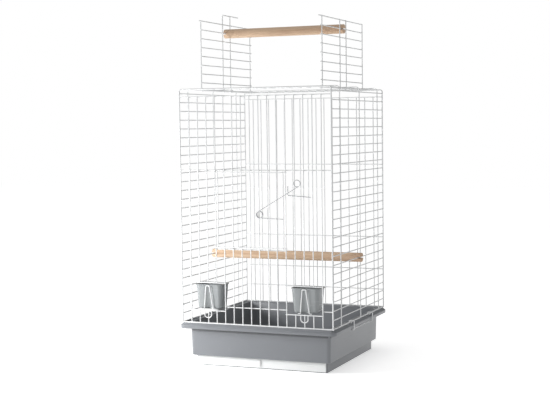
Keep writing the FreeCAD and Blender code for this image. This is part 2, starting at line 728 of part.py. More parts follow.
makeTub()
makeHousing()
makeDrawer()
makeBottomFrame()
makeHoop("front_hoop", -half)
makeHoop("back_hoop", half)
makeBands()
makeRoofRows()
makeFrontBars()
makeBackBars()
makeCrossWires()
makeDoor()
makeLatch()
for side, name in ((-1, "left"), (1, "right")):
    makeSideRows(f"{name}_side_rows", side)
    makeFeederWires(side, name)
    makeCup(f"{name}_feeder_cup", side)
    makeHanger(side, name)
    makeFlap(side, name)
    makeClip(side, name)
innerPerchZ = "(Sizes.bottomWireZ + Sizes.rowPitch * Sizes.innerPerchRow)"
innerKerf = "(Sizes.innerPerchHalf - Sizes.cageHalf + Sizes.wireDia / 2 + Sizes.freeGap)"
makePerch("inner_perch", "Sizes.innerPerchHalf", innerPerchZ, innerKerf, True)
flapRowX = "(Sizes.railX + Sizes.freeGap)"
topPerchZ = "(Sizes.roofZ + Sizes.flapLength - Sizes.rowPitch)"
topKerf = "(Sizes.topPerchLap + Sizes.wireDia / 2 + Sizes.freeGap)"
makePerch("top_perch", f"{flapRowX} + Sizes.topPerchLap", topPerchZ, topKerf, False)

doc.recompute()
for item in doc.Objects:
    if "Invalid" in item.State or "Error" in item.State:
        raise ValueError(f"{item.Label} did not recompute")
os.makedirs("parts", exist_ok=True)
for node in nodes:
    if node.Shape.isNull() or not node.Shape.isValid():
        raise ValueError(f"{node.Label} is not a valid shape")
    node.Shape.exportStep(os.path.join("parts", f"{node.Label}.step"))
    print(node.Label, len(node.Shape.Solids), round(node.Shape.Volume, 1))
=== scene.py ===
import bpy
import bmesh
import json
import math
import numpy as np
from mathutils import Matrix, Vector


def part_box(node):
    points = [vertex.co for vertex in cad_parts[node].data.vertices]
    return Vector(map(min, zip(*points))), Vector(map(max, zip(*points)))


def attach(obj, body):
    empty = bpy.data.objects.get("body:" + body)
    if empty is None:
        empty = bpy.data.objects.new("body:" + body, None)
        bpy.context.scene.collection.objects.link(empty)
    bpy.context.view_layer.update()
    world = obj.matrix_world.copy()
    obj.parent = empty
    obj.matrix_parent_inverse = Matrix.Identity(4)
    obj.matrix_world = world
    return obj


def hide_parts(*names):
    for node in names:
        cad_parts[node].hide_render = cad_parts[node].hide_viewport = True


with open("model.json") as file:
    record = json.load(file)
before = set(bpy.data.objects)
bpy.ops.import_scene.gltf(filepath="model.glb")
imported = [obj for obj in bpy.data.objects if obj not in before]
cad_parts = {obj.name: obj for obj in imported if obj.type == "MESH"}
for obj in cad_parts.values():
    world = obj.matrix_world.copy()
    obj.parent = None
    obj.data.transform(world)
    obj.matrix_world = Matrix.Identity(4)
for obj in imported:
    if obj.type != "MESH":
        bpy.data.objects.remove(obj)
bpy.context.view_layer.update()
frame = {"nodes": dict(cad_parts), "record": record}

mm = 0.001
print("frame loaded:", len(frame["nodes"]), "nodes")


# A value that runs through a material: arithmetic on it adds Math nodes.
class Flow:
    def __init__(self, maker, socket):
        self.maker = maker
        self.socket = socket

    def __add__(self, other):
        return self.maker.maths("ADD", self, other)

    def __radd__(self, other):
        return self.maker.maths("ADD", other, self)

    def __sub__(self, other):
        return self.maker.maths("SUBTRACT", self, other)

    def __rsub__(self, other):
        return self.maker.maths("SUBTRACT", other, self)

    def __mul__(self, other):
        return self.maker.maths("MULTIPLY", self, other)

    def __rmul__(self, other):
        return self.maker.maths("MULTIPLY", other, self)


# A node that has just been added; its outputs are taken as flows.
class Added:
    def __init__(self, maker, node):
        self.maker = maker
        self.node = node

    def flow(self, output):
        return Flow(self.maker, self.node.outputs[output])


# Makes one material: add() takes a node's type, its settings and its input values or flows.
class Maker:
    def __init__(self, name):
        self.material = bpy.data.materials.new(name)
        self.material.use_nodes = True
        self.tree = self.material.node_tree
        self.tree.nodes.clear()

    def maths(self, operation, *values):
        inputs = {place: value for place, value in enumerate(values)}
        return self.add("ShaderNodeMath", {"operation": operation}, inputs).flow(0)

    def add(self, kind, settings=None, inputs=None):
        node = self.tree.nodes.new(kind)
        for name, value in (settings or {}).items():
            if name == "stops":
                self.setStops(node.color_ramp, value)
            else:
                setattr(node, name, value)
        for place, value in (inputs or {}).items():
            if isinstance(value, Flow):
                self.tree.links.new(value.socket, node.inputs[place])
            else:
                node.inputs[place].default_value = value
        return Added(self, node)

    def setStops(self, ramp, stops):
        while len(ramp.elements) < len(stops):
            ramp.elements.new(0.5)
        for element, (place, colour) in zip(ramp.elements, stops):
            element.position = place
            element.color = (*colour, 1)

    def place(self):
        return self.add("ShaderNodeTexCoord").flow("Object")

    def noise(self, scale, detail, rough=0.55, stretch=(1, 1, 1), shift=(0, 0, 0)):
        inputs = {"Vector": self.place(), "Scale": stretch, "Location": shift}
        spot = self.add("ShaderNodeMapping", {}, inputs).flow(0)
        inputs = {"Vector": spot, "Scale": scale, "Detail": detail, "Roughness": rough}
        return self.add("ShaderNodeTexNoise", {}, inputs).flow(0)

    def ramp(self, value, stops):
        return self.add("ShaderNodeValToRGB", {"stops": stops}, {0: value}).flow(0)

    def between(self, value, low, high):
        inputs = {0: value, 1: low, 2: high, 3: 0.0, 4: 1.0}
        return self.add("ShaderNodeMapRange", {"clamp": True}, inputs).flow(0)

    def mixColours(self, factor, first, second):
        settings = {"data_type": "RGBA", "clamp_factor": True}
        return self.add("ShaderNodeMix", settings, {0: factor, 6: first, 7: second}).flow(2)

    def bump(self, height, strength, distance):
        inputs = {"Height": height, "Strength": strength, "Distance": distance}
        return self.add("ShaderNodeBump", {}, inputs).flow(0)

    def finish(self, inputs):
        surface = self.add("ShaderNodeBsdfPrincipled", {}, inputs).flow(0)
        self.add("ShaderNodeOutputMaterial", {}, {0: surface})
        return self.material


def colour(red, green, blue):
    return (red, green, blue, 1)


def shaded(tint, share):
    return colour(*[part * share for part in tint])


# Scales are noise scales, and a pair is the noise levels between which a mark grows to full.
coatLook = {"cloudScale": 35, "cloudRough": 0.10, "dark": 0.95, "dustScale": 90, "dustAndShade": (0.56, 0.78),
            "dustTint": (0.62, 0.60, 0.56), "dustShare": 0.22, "dustRough": 0.15, "peelScale": 420,
            "peel": 0.25, "peelDepth": 0.15 * mm, "coat": 0.25, "coatRoughness": 0.18}


# Powder coat on wire: almost even white, a fine orange peel, a little dust in the pores.
def coatedWire(name, tint, gloss):
    look = coatLook
    make = Maker(name)
    cloud = make.noise(look["cloudScale"], 2)
    fine = make.noise(look["peelScale"], 2)
    dustAndShade = make.between(make.noise(look["dustScale"], 4, 0.7), *look["dustAndShade"])
    shade = make.mixColours(cloud, colour(*tint), shaded(tint, look["dark"]))
    shade = make.mixColours(dustAndShade * look["dustShare"], shade, colour(*look["dustTint"]))
    roughness = gloss + cloud * look["cloudRough"] + dustAndShade * look["dustRough"]
    peel = make.bump(fine, look["peel"], look["peelDepth"])
    return make.finish({"Base Color": shade, "Roughness": roughness, "Normal": peel,
                        "Coat Weight": look["coat"], "Coat Roughness": look["coatRoughness"]})


# In metres: how far out the tub's wall stands, the heights over which the painted shade under the lip grows,
# and those over which it ends at the lip; tint is the painted shade's dark colour.
lipShadeLook = {"wall": (0.1588, 0.1598), "dustAndShade": (0.0735, 0.0768), "lip": (0.0822, 0.0826),
           "tint": (0.035, 0.037, 0.042)}


# Painted shade under the tub's lip, standing in for the lip's shadow: 1 on the outer wall just below the lip,
# fading downwards.
def lipShade(make):
    look = lipShadeLook
    spot = make.add("ShaderNodeSeparateXYZ", {}, {0: make.place()})
    x, y, z = (spot.flow(axis) for axis in range(3))
    outward = make.maths("MAXIMUM", make.maths("ABSOLUTE", x), make.maths("ABSOLUTE", y))
    onWall = make.between(outward, *look["wall"])
    return make.between(z, *look["dustAndShade"]) * (1 - make.between(z, *look["lip"])) * onWall


mouldLook = {"cloudScale": 7, "cloudRough": 0.06, "dark": 0.93, "light": 1.06, "grainDepth": 0.12 * mm,
             "rubScale": 12, "rubStretch": (1, 1, 26), "rubs": (0.60, 0.74), "rubRough": 0.10,
             "scuffScale": 46, "scuffs": (0.63, 0.80), "scuffRough": 0.12}


# Moulded plastic: fine grain, cloudy flow marks, long faint rubs and pale scuffs.
def mouldedPlastic(name, tint, pale, look):
    marks = mouldLook
    make = Maker(name)
    cloud = make.noise(marks["cloudScale"], 3)
    grain = make.noise(look["grain"], 2, 0.6)
    rubs = make.between(make.noise(marks["rubScale"], 4, 0.6, marks["rubStretch"]), *marks["rubs"])
    scuffs = make.between(make.noise(marks["scuffScale"], 6, 0.72), *marks["scuffs"])
    shade = make.mixColours(cloud, shaded(tint, marks["dark"]), shaded(tint, marks["light"]))
    shade = make.mixColours(scuffs * look["scuff"], shade, colour(*pale))
    # Painted shade: darkens the outer wall under the tub's lip, standing in for the lip's shadow.
    if look.get("lip"):
        shade = make.mixColours(lipShade(make) * look["lip"], shade, colour(*lipShadeLook["tint"]))
    wear = cloud * marks["cloudRough"] + rubs * marks["rubRough"] + scuffs * marks["scuffRough"]
    skin = make.bump(grain, look["depth"], marks["grainDepth"])
    return make.finish({"Base Color": shade, "Roughness": wear + look["rough"], "Normal": skin,
                        "Specular IOR Level": look["shine"]})


# A stretch holds the noise scales along and across the dowel.
beechLook = {"bandStretch": (3.2, 95, 95), "bandShift": (3, 0, 1),
             "bands": [(0.30, (0.44, 0.285, 0.180)), (0.52, (0.56, 0.395, 0.265)),
                       (0.72, (0.64, 0.475, 0.335))],
             "patchStretch": (8, 30, 30), "patchShift": (0, 2, 0), "patches": (0.50, 0.72),
             "patchShare": 0.5, "warm": (0.42, 0.250, 0.165),
             "fibreStretch": (9, 420, 420), "fibres": (0.45, 0.75), "fibreShare": 0.35,
             "pale": (0.72, 0.565, 0.415),
             "fleckStretch": (150, 1500, 1500), "flecks": (0.62, 0.70), "fleckShare": 0.55,
             "fleck": (0.30, 0.175, 0.100), "fleckDepth": 0.8,
             "rough": 0.58, "fibreRough": 0.16, "relief": 0.55, "reliefDepth": 0.18 * mm}


# Turned beech: long fibres along X, short dark flecks, broad warm patches, end grain.
def turnedBeech():
    look = beechLook
    make = Maker("turnedBeech")
    fibres = make.noise(1, 4, 0.62, look["fibreStretch"])
    bands = make.noise(1, 3, 0.5, look["bandStretch"], look["bandShift"])
    patches = make.noise(1, 2, 0.5, look["patchStretch"], look["patchShift"])
    flecks = make.between(make.noise(1, 2, 0.5, look["fleckStretch"]), *look["flecks"])
    wood = make.ramp(bands, look["bands"])
    onPatch = make.between(patches, *look["patches"]) * look["patchShare"]
    wood = make.mixColours(onPatch, wood, colour(*look["warm"]))
    onFibre = make.between(fibres, *look["fibres"]) * look["fibreShare"]
    wood = make.mixColours(onFibre, wood, colour(*look["pale"]))
    wood = make.mixColours(flecks * look["fleckShare"], wood, colour(*look["fleck"]))
    relief = make.bump(fibres - flecks * look["fleckDepth"], look["relief"], look["reliefDepth"])
    return make.finish({"Base Color": wood, "Roughness": look["rough"] + fibres * look["fibreRough"],
                        "Normal": relief})


finishes = {
    "coated_wire": coatedWire("coatedWire", (0.70, 0.71, 0.715), 0.30),
    "latch_wire": coatedWire("latchWire", (0.47, 0.48, 0.49), 0.22),
    "clip_wire": coatedWire("clipWire", (0.70, 0.71, 0.715), 0.26),
    # The base plastic's lip weight sets how strong its painted shade under the tub's lip is.
    "base_plastic": mouldedPlastic(
        "basePlastic", (0.165, 0.174, 0.188), (0.38, 0.39, 0.40),
        {"grain": 1500, "depth": 0.22, "rough": 0.27, "scuff": 0.10, "shine": 0.6, "lip": 0.8}),
    "drawer_plastic": mouldedPlastic(
        "drawerPlastic", (0.74, 0.75, 0.75), (0.60, 0.59, 0.57),
        {"grain": 1100, "depth": 0.12, "rough": 0.30, "scuff": 0.10, "shine": 0.5}),
    "pull_plastic": mouldedPlastic(
        "pullPlastic", (0.66, 0.665, 0.66), (0.55, 0.54, 0.52),
        {"grain": 1100, "depth": 0.12, "rough": 0.34, "scuff": 0.10, "shine": 0.5}),
    "cup_plastic": mouldedPlastic(
        "cupPlastic", (0.235, 0.250, 0.256), (0.46, 0.47, 0.48),
        {"grain": 1300, "depth": 0.10, "rough": 0.22, "scuff": 0.12, "shine": 0.6}),
    "perch_wood": turnedBeech(),
}
slotOf = {part["node"]: part["material_slot"] for part in frame["record"]["subparts"]}
for nodeName, node in frame["nodes"].items():
    node.data.materials.clear()
    node.data.materials.append(finishes[slotOf[nodeName]])
print("materials made:", len(finishes))


# Quads between neighbouring points of a grid whose columns run round and close: corner (row,
# column) joins (row, column + 1), (row + 1, column + 1) and (row + 1, column).
def gridPiece(name, grid, closeRows=False):
    rows, columns = grid.shape[:2]
    row = np.arange(rows if closeRows else rows - 1)[:, None]
    column = np.arange(columns)[None, :]
    nextRow, nextColumn = (row + 1) % rows, (column + 1) % columns
    quads = np.stack([row * columns + column, row * columns + nextColumn,
                      nextRow * columns + nextColumn, nextRow * columns + column], -1).reshape(-1, 4)
    return pieceFrom(name, grid.reshape(-1, 3), quads)


def pieceFrom(name, points, faces, closed=True):
    mesh = bpy.data.meshes.new(name)
    mesh.vertices.add(len(points))
    mesh.vertices.foreach_set("co", np.asarray(points, float).ravel())
    mesh.loops.add(faces.size)
    mesh.loops.foreach_set("vertex_index", faces.ravel().astype(np.int32))
    mesh.polygons.add(len(faces))
    mesh.polygons.foreach_set("loop_start", np.arange(0, faces.size, faces.shape[1], dtype=np.int32))
    mesh.update(calc_edges=True)
    tidyMesh(mesh, closed)
    piece = bpy.data.objects.new(name, mesh)
    bpy.context.scene.collection.objects.link(piece)
    return piece


mergeReach = 0.004 * mm
sliverReach = 0.002 * mm


# Merges poles, drops the slivers they leave, and turns closed surfaces outwards.
def tidyMesh(mesh, turnOutwards):
    work = bmesh.new()
    work.from_mesh(mesh)
    bmesh.ops.remove_doubles(work, verts=work.verts, dist=mergeReach)
    bmesh.ops.dissolve_degenerate(work, edges=work.edges, dist=sliverReach)
    if turnOutwards:
        bmesh.ops.recalc_face_normals(work, faces=work.faces)
    work.to_mesh(mesh)
    work.free()
    mesh.polygons.foreach_set("use_smooth", np.ones(len(mesh.polygons), bool))


# Gives a piece the finish of its slot and its body, and hides the nodes that it replaces.
def settle(piece, body, slotName, *replaced):
    piece.data.materials.append(finishes[slotName])
    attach(piece, body)
    if replaced:
        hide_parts(*replaced)


# An outline of (across, up, radius) corners, each swapped for an arc of its radius. The arc's
# centre lies on the corner's bisector, radius over the sine of the half angle away, and its
# points swing evenly from one tangent point to the other.
def softened(corners, steps=5):
    points = np.array([corner[:2] for corner in corners], float)
    radii = np.array([corner[2] for corner in corners], float)
    before, after = np.roll(points, 1, 0) - points, np.roll(points, -1, 0) - points
    before /= np.linalg.norm(before, axis=1)[:, None]
    after /= np.linalg.norm(after, axis=1)[:, None]
    halfTurn = np.arccos(np.clip((before * after).sum(1), -1, 1)) / 2
    bisector = before + after
    bisector /= np.linalg.norm(bisector, axis=1)[:, None]
    centre = points + bisector * (radii / np.sin(halfTurn))[:, None]
    start = points + before * (radii / np.tan(halfTurn))[:, None] - centre
    end = points + after * (radii / np.tan(halfTurn))[:, None] - centre
    share = np.linspace(0, 1, steps)[None, :, None]
    swing = (math.pi - 2 * halfTurn)[:, None, None]
    arc = start[:, None] * np.sin((1 - share) * swing) + end[:, None] * np.sin(share * swing)
    return (centre[:, None] + arc / np.sin(swing)).reshape(-1, 2)


# Stations round a square with round corners. Each has the signs of the corner that it belongs
# to, its place along a side (none on a corner), and the direction that it faces.
def squareStations(cornerSteps, sideStops):
    stops = np.asarray(sideStops, float)
    angles = np.linspace(-math.pi / 2, 0, cornerSteps)
    signs, slides, turns = [], [], []
    for quarter in range(4):
        spin = quarter * math.pi / 2
        diagonal = spin - math.pi / 4
        corner = (math.cos(diagonal) * math.sqrt(2), math.sin(diagonal) * math.sqrt(2))
        signs.append(np.tile(corner, (len(stops) + cornerSteps, 1)))
        slides.append(np.concatenate([stops, np.full(cornerSteps, np.nan)]))
        turns.append(np.concatenate([np.full(len(stops), -math.pi / 2), angles]) + spin)
    return np.concatenate(signs), np.concatenate(slides), np.concatenate(turns)


# Rings of stations with half sizes and a corner radius. A corner station is at sign * (half -
# radius) plus radius times the direction's cosine and sine; a side station keeps its own
# place along the side, or its share of the side's straight length.
def squareRing(halfX, halfY, radius, stations, shares=False):
    corner, slide, turn = stations
    flatX, flatY = (halfX - radius)[:, None], (halfY - radius)[:, None]
    radius = radius[:, None]
    onSide = ~np.isnan(slide)
    alongX = np.abs(np.sin(turn)) > 0.5
    place = np.where(onSide, slide, 0) * np.where(alongX, -np.sin(turn), np.cos(turn))
    reachX, reachY = (flatX, flatY) if shares else (1, 1)
    x = np.where(onSide & alongX, place * reachX, corner[:, 0] * flatX + radius * np.cos(turn))
    y = np.where(onSide & ~alongX, place * reachY, corner[:, 1] * flatY + radius * np.sin(turn))
    return x, y


tubLook = {"wallIn": 17, "lean": 2, "ledgeIn": 22, "wall": 2.6, "wallRadius": 9, "innerRadius": 6.4,
           "floorRadius": 4, "rimRadius": 12, "rimWall": 2.4, "skirtDrop": 8, "shoulderIn": 4.5,
           "shoulderRun": 2.9, "shoulderRise": 4, "notchPlace": 63, "notchHalf": 4.5, "notchDepth": 3.4,
           "notchReach": 14, "notchEase": 0.2, "sideStops": [-120, -90, -30, 0, 30, 90, 120],
           "cornerSteps": 9}
tubRounds = {"foot": 1.4, "tuck": 0.8, "skirtIn": 0.7, "skirtOut": 0.9, "rim": 1.6, "crease": 0.6,
             "brim": 1.2, "ledge": 0.9, "underside": 0.7}


# The tub: one closed profile, from the floor ledge up the outer wall, round the skirt and
# the rim and down the inside, carried round a square with round corners. At a notch the
# height is cut down to the notch's floor.
def makeTub():
    low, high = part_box("base_tub")
    half, foot, top = high.x / mm, low.z / mm, high.z / mm
    look, rounds = tubLook, tubRounds
    wall = half - look["wallIn"]
    rimTop = top - look["shoulderRise"]
    skirtFoot = rimTop - look["skirtDrop"]
    skirtTop = rimTop - look["rimWall"]
    skirtIn = half - look["rimWall"]
    shoulder = half - look["shoulderIn"]
    inner = wall - look["wall"]
    ledge = wall - look["ledgeIn"]
    floor = foot + look["wall"]
    profile = softened([
        (wall - look["lean"], foot, rounds["foot"]), (wall, skirtTop, rounds["tuck"]),
        (skirtIn, skirtTop, rounds["tuck"]), (skirtIn, skirtFoot, rounds["skirtIn"]),
        (half, skirtFoot, rounds["skirtOut"]), (half, rimTop, rounds["rim"]),
        (shoulder + look["shoulderRun"], rimTop, rounds["crease"]), (shoulder, top, rounds["tuck"]),
        (inner, top, rounds["brim"]), (inner - look["lean"], floor, rounds["foot"]),
        (ledge, floor, rounds["ledge"]), (ledge, foot, rounds["underside"])])
    offset, level = profile[:, 0], profile[:, 1]
    radius = np.interp(offset, [ledge, inner, wall, half],
                       [look["floorRadius"], look["innerRadius"], look["wallRadius"], look["rimRadius"]])
    edge, ease = look["notchHalf"], look["notchEase"]
    stops = list(look["sideStops"])
    for place in (-look["notchPlace"], look["notchPlace"]):
        stops += [place - edge - ease, place - edge, place + edge, place + edge + ease]
    stations = squareStations(look["cornerSteps"], np.sort(stops))
    x, y = squareRing(offset, offset, radius, stations)
    z = np.repeat(level[:, None], x.shape[1], 1)
    alongNotch = np.abs(np.abs(y) - look["notchPlace"]) <= edge + ease / 4
    inNotch = alongNotch & (np.abs(x) > half - look["notchReach"])
    z = np.where(inNotch, np.minimum(z, top - look["notchDepth"]), z)
    tub = gridPiece("tubShell", np.stack([x, y, z], -1) * mm, closeRows=True)
    settle(tub, "cage", "base_plastic", "base_tub")
    print("tub:", len(tub.data.polygons), "faces")


cupLook = {"wall": 2.2, "radius": 9, "radiusLoss": 0.6, "leastRadius": 0.05, "lean": 4, "rimHeight": 2.4,
           "rimLap": 1.4, "rimStep": 0.2, "floor": 2.6, "floorRings": [6.0, 14.0], "floorHole": 0.1,
           "cornerSteps": 8, "sideStops": 29, "sideShare": 0.98, "groove": 5.5, "grooveWidth": 7.5,
           "grooveFade": 6, "grooveFloor": 12, "grooveFloorFade": 10}
cupRounds = {"foot": 2.2, "tuck": 0.4, "rimFoot": 0.5, "rimTop": 0.9, "inside": 3.0}


# A feeder cup: closed wall profile (inset, height) round a square with round corners. Its
# front is drawn in by groove * exp(-(x / width)^2), which fades towards the rim and floor.
def makeCup(name, node, body):
    low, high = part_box(node)
    look, rounds = cupLook, cupRounds
    middle = (low + high) / 2 / mm
    halfX, halfY = (high.x - low.x) / 2 / mm, (high.y - low.y) / 2 / mm
    tall = (high.z - low.z) / mm
    wall, lap = look["wall"], look["rimLap"]
    rimFoot = tall - look["rimHeight"]
    profile = softened([
        (look["lean"] + lap, 0, rounds["foot"]), (lap + look["rimStep"], rimFoot, rounds["tuck"]),
        (0, rimFoot, rounds["rimFoot"]), (0, tall, rounds["rimTop"]), (lap + wall, tall, rounds["rimTop"]),
        (look["lean"] + lap + wall, look["floor"], rounds["inside"])])
    inset, level = profile[:, 0], profile[:, 1]
    rings, hole = look["floorRings"], look["floorHole"]
    floorInset = inset[-1] + np.array(rings + [halfY - inset[-1] - hole])
    underInset = inset[0] + np.array([halfY - inset[0] - hole] + rings[::-1])
    inset = np.concatenate([underInset, inset, floorInset])
    level = np.concatenate([np.zeros(len(underInset)), level, np.full(len(floorInset), look["floor"])])
    radius = np.clip(look["radius"] + lap - inset * look["radiusLoss"], look["leastRadius"], None)
    shares = np.linspace(-look["sideShare"], look["sideShare"], look["sideStops"])
    x, y = squareRing(halfX - inset, halfY - inset, radius, squareStations(look["cornerSteps"], shares), True)
    bell = np.exp(-(x / look["grooveWidth"]) ** 2)
    belowRim = np.clip((tall - level) / look["grooveFade"], 0, 1)
    offFloor = np.clip(1 - (inset - look["grooveFloor"]) / look["grooveFloorFade"], 0, 1)
    y = y + look["groove"] * bell * (belowRim * offFloor)[:, None] * np.clip(-y / halfY, 0, 1)
    z = np.repeat(level[:, None], x.shape[1], 1)
    points = np.stack([x + middle.x, y + middle.y, z + low.z / mm], -1)
    cup = gridPiece(name, points * mm)
    closeEnds(cup)
    settle(cup, body, "cup_plastic", node)
    print(name, "moulded")


# Fills the small holes left in the middle of a floor.
def closeEnds(piece):
    work = bmesh.new()
    work.from_mesh(piece.data)
    bmesh.ops.holes_fill(work, edges=[edge for edge in work.edges if edge.is_boundary], sides=0)
    bmesh.ops.recalc_face_normals(work, faces=work.faces)
    work.to_mesh(piece.data)
    work.free()
    piece.data.polygons.foreach_set("use_smooth", np.ones(len(piece.data.polygons), bool))


# A round wire: each point of the path carries a circle, radius * (across * cosine + depth *
# sine), square to the path; a quarter circle rounds both ends off to a point. The path lies
# near the XZ plane, so across is the tangent turned a quarter in it and depth is near Y.
def wirePiece(name, path, thickness, sides=12, capSteps=4):
    path = np.asarray(path, float)
    tangent = np.gradient(path, axis=0)
    tangent /= np.linalg.norm(tangent, axis=1)[:, None]
    across = np.cross(tangent, (0, 1, 0))
    across /= np.linalg.norm(across, axis=1)[:, None]
    depth = np.cross(across, tangent)
    angle = np.arange(sides) * 2 * math.pi / sides
    angle = angle[None, :, None]
    radius = thickness / 2
    circle = (across[:, None] * np.cos(angle) + depth[:, None] * np.sin(angle)) * radius
    cap = np.linspace(0, math.pi / 2, capSteps + 1)[1:]
    reach, width = np.sin(cap)[:, None, None] * radius, np.cos(cap)[:, None, None]
    head = path[0] - tangent[0] * reach + circle[0] * width
    tail = path[-1] + tangent[-1] * reach + circle[-1] * width
    return gridPiece(name, np.concatenate([head[::-1], path[:, None] + circle, tail]))


# The eye's and the finger ring's turns are in half turns; turnStep is the coil's pitch.
latchLook = {"wire": 1.8, "radius": 7, "turns": 2.15, "turnStep": 1.368, "eyeTurn": 1.85, "fingerTurn": 1.88,
             "coilSteps": 90, "tailSteps": 24, "ringSteps": 60, "armSteps": 60}


# Points round a circle in the XZ plane, centre + radius * (cosine, sine), from one angle to
# another, that drift evenly in Y.
def loop(centre, radius, start, end, drift, steps):
    angle = np.linspace(start, end, steps)
    share = np.linspace(0, 1, steps)
    return np.stack([centre[0] + radius * np.cos(angle), centre[1] + drift * share,
                     centre[2] + radius * np.sin(angle)], -1)


# The latch: a coil with a straight tail, and an arm that leaves its eye and meets its finger
# ring along their crossed tangent. The radii to it lean acos(2 * radius / distance) off the
# line between the two centres.
def makeLatch():
    look = latchLook
    springLow, springHigh = (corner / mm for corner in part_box("latch_spring"))
    armLow, armHigh = (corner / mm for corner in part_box("latch_arm"))
    wire, radius = look["wire"], look["radius"]
    reach = radius + wire / 2
    centre = (armLow.x + reach, springHigh.y - wire / 2, armLow.z + reach)
    coilEnd = -math.pi / 2 - look["turns"] * 2 * math.pi
    coil = loop(centre, radius, -math.pi / 2, coilEnd, -look["turns"] * look["turnStep"], look["coilSteps"])
    tailEnd = np.array([springHigh.x - wire / 2, centre[1], springLow.z + wire / 2])
    tail = tailEnd + (coil[0] - tailEnd) * np.linspace(0, 1, look["tailSteps"])[:-1, None]
    spring = wirePiece("latchCoil", np.concatenate([tail, coil]) * mm, wire * mm)
    settle(spring, "door", "latch_wire", "latch_spring")

    armY = (armLow.y + armHigh.y) / 2
    eye = (centre[0], armY, centre[2])
    finger = (armHigh.x - reach, armY, armHigh.z - reach)
    slope = math.atan2(finger[2] - eye[2], finger[0] - eye[0])
    length = math.hypot(finger[2] - eye[2], finger[0] - eye[0])
    lean = math.acos(2 * radius / length)
    leave = slope + lean
    eyeLoop = loop(eye, radius, leave - look["eyeTurn"] * math.pi, leave, 0, look["ringSteps"])
    arrive = leave + math.pi
    fingerLoop = loop(finger, radius, arrive, arrive - look["fingerTurn"] * math.pi, 0, look["ringSteps"])
    share = np.linspace(0, 1, look["armSteps"])[1:-1, None]
    straight = eyeLoop[-1] + (fingerLoop[0] - eyeLoop[-1]) * share
    arm = wirePiece("latchArm", np.concatenate([eyeLoop, straight, fingerLoop]) * mm, wire * mm)
    settle(arm, "latch", "latch_wire", "latch_arm")
    print("latch wound")


edgeLook = {"fine": 0.5 * mm, "front": 0.8 * mm, "segments": 3, "sharpest": 40}


# A copy of a CAD node with its corners taken off.
def softCopy(name, node, body, slotName, width):
    mesh = frame["nodes"][node].data.copy()
    mesh.materials.clear()
    tidyMesh(mesh, False)
    piece = bpy.data.objects.new(name, mesh)
    bpy.context.scene.collection.objects.link(piece)
    bevel = piece.modifiers.new("edges", "BEVEL")
    bevel.width = width
    bevel.segments = edgeLook["segments"]
    bevel.limit_method = "ANGLE"
    bevel.angle_limit = math.radians(edgeLook["sharpest"])
    settle(piece, body, slotName, node)


beadLook = {"size": 1.42, "rings": 5, "around": 8}


# Small blobs of coating where two wires are welded, one ball to a crossing: size * (sine of
# the polar angle * cosine and sine of the turn, cosine of the polar angle).
def weldBeads(name, body, spots):
    rings, around = beadLook["rings"], beadLook["around"]
    polar = np.linspace(0, math.pi, rings + 1)[:, None]
    turn = (np.arange(around) * 2 * math.pi / around)[None, :]
    ball = np.stack([np.sin(polar) * np.cos(turn), np.sin(polar) * np.sin(turn),
                     np.cos(polar) + 0 * turn], -1) * beadLook["size"]
    row, column = np.arange(rings)[:, None], np.arange(around)[None, :]
    nextColumn = (column + 1) % around
    quads = np.stack([row * around + column, row * around + nextColumn,
                      (row + 1) * around + nextColumn, (row + 1) * around + column], -1).reshape(-1, 4)
    count = ball.shape[0] * ball.shape[1]
    points = (spots[:, None, None, :] + ball[None]).reshape(-1, 3) * mm
    faces = (quads[None] + np.arange(len(spots))[:, None, None] * count).reshape(-1, 4)
    settle(pieceFrom(name, points, faces), body, "coated_wire")
    print(name, len(spots), "welds")


# Every combination of the X, Y and Z values, one row for each.
def crossings(xs, ys, zs):
    return np.stack(np.meshgrid(xs, ys, zs, indexing="ij"), -1).reshape(-1, 3)


# Bars and rows are counted from the left and from the foot.
weldLook = {"wire": 2.2, "sideRows": 25, "bars": 16, "hingeBar": 3, "shutBar": 11, "middleBars": (4, 12),
            "rowEnd": 0.8, "doorGap": 1.4, "backHeights": [183, 257, 424], "feederStops": 5,
            "flapRows": 8, "flapMiddle": 20}


# The lowest and highest wire centres of a node, in millimetres.
def wireSpan(node):
    low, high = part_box(node)
    inset = Vector((1, 1, 1)) * weldLook["wire"] / 2
    return low / mm + inset, high / mm - inset


